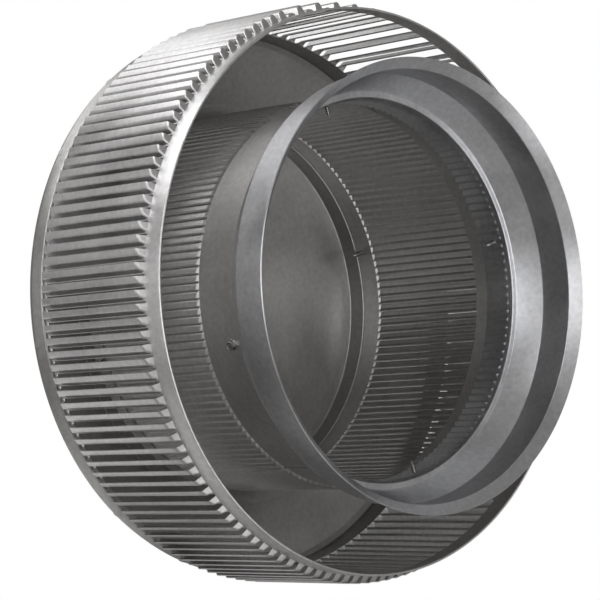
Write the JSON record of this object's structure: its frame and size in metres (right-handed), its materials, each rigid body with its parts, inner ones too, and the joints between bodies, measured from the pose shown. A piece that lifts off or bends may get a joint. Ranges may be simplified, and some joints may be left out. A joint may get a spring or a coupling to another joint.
{
  "type": "vent cap",
  "caption": "Round louvred roof vent cap of sheet aluminium: pipe adapter, louvred drum inside a louvred outer band, and a stepped dome on top.",
  "frame": {"origin": "centre of the flared mouth, in the plane it stands on", "axes": "+Z along the axis from the mouth to the dome, +X and +Y across"},
  "size_m": [0.4478, 0.4482, 0.2379],
  "materials": {
    "formed_sheet": "mill",
    "louvred_sheet": "mill",
    "screw": "zinc plated",
    "rivet": "satin"
  },
  "bodies": {
    "root": {"pipe_adapter": "formed_sheet", "inner_louvre_drum": "louvred_sheet", "outer_louvre_band": "louvred_sheet", "dome_cap": "formed_sheet", "drum_angle_ring": "formed_sheet", "adapter_screws": "screw", "drum_screws": "screw", "skirt_rivets": "rivet"}
  },
  "joints": []
}
